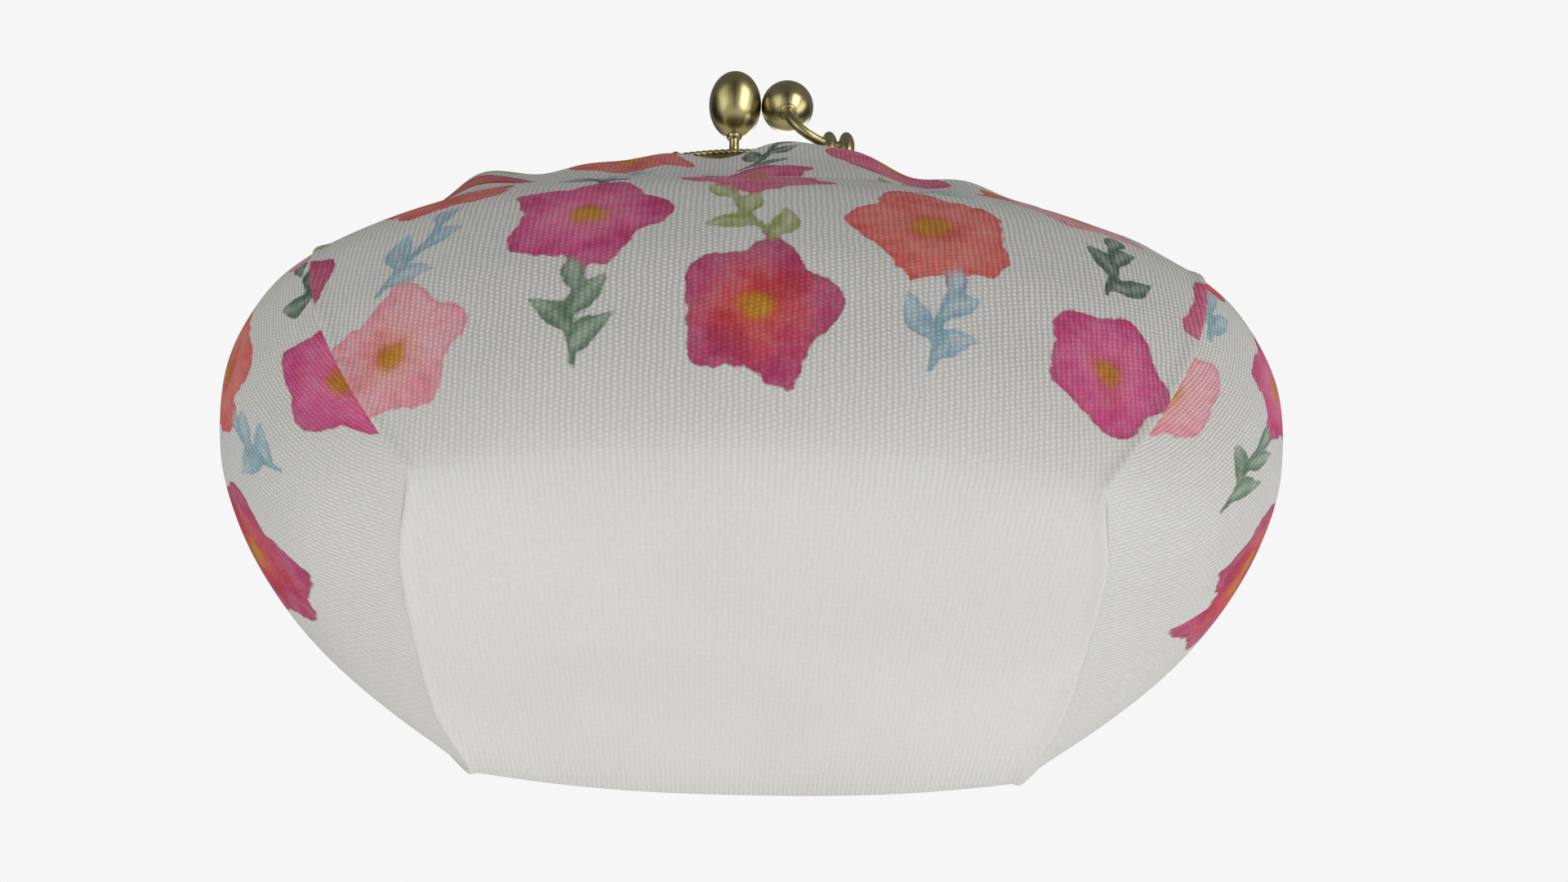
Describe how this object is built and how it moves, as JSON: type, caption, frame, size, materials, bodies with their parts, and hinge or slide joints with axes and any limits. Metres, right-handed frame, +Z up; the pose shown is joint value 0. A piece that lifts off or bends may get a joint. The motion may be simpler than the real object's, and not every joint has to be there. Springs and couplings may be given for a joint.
{
  "type": "coin purse",
  "caption": "Small printed canvas coin purse with rounded gusset sides, an arched two-part metal frame and a ball snap clasp.",
  "frame": {"origin": "middle of the flat base, on the surface the purse stands on", "axes": "+Z up, +X towards the right-hand hinge seen from the front, the front panel faces -Y"},
  "size_m": [0.1277, 0.084, 0.1092],
  "materials": {
    "canvas_print": "coarse cotton canvas, off-white with a watercolour flower print",
    "lining_cotton": "plain natural cotton lining",
    "grey_board": "grey stiffener board",
    "antique_bronze": "antique bronze plating, darkened in the hollows",
    "polished_bronze": "antique bronze plating, rubbed bright",
    "paper_cord": "twisted kraft paper cord"
  },
  "bodies": {
    "bag": {"main_panel": "canvas_print", "gusset_left": "canvas_print", "gusset_right": "canvas_print", "lining": "lining_cotton", "base_board": "grey_board", "hinge_rivet_left": "antique_bronze", "hinge_rivet_right": "antique_bronze"},
    "front_frame": {"front_frame_channel": "antique_bronze", "front_paper_cord": "paper_cord", "front_clasp_ball": "polished_bronze", "front_clasp_collar": "antique_bronze", "front_clasp_arm": "antique_bronze", "front_clasp_foot_beads": "antique_bronze", "front_panel_top": "canvas_print", "front_lining_top": "lining_cotton"},
    "back_frame": {"back_frame_channel": "antique_bronze", "back_paper_cord": "paper_cord", "back_clasp_ball": "polished_bronze", "back_clasp_collar": "antique_bronze", "back_clasp_arm": "antique_bronze", "back_clasp_foot_beads": "antique_bronze", "back_panel_top": "canvas_print", "back_lining_top": "lining_cotton"}
  },
  "joints": [
    {"name": "front_hinge", "type": "hinge", "parent": "bag", "child": "front_frame", "pos_m": [0, 0, 0.0432], "axis": [1, 0, 0], "range_deg": [0, 45], "deforming": ["front_panel_top", "front_lining_top"]},
    {"name": "back_hinge", "type": "hinge", "parent": "bag", "child": "back_frame", "pos_m": [0, 0, 0.0432], "axis": [-1, 0, 0], "range_deg": [0, 45], "deforming": ["back_panel_top", "back_lining_top"]}
  ],
  "couplings": [
    {"joint": "back_hinge", "follows": "front_hinge", "ratio": 1}
  ]
}
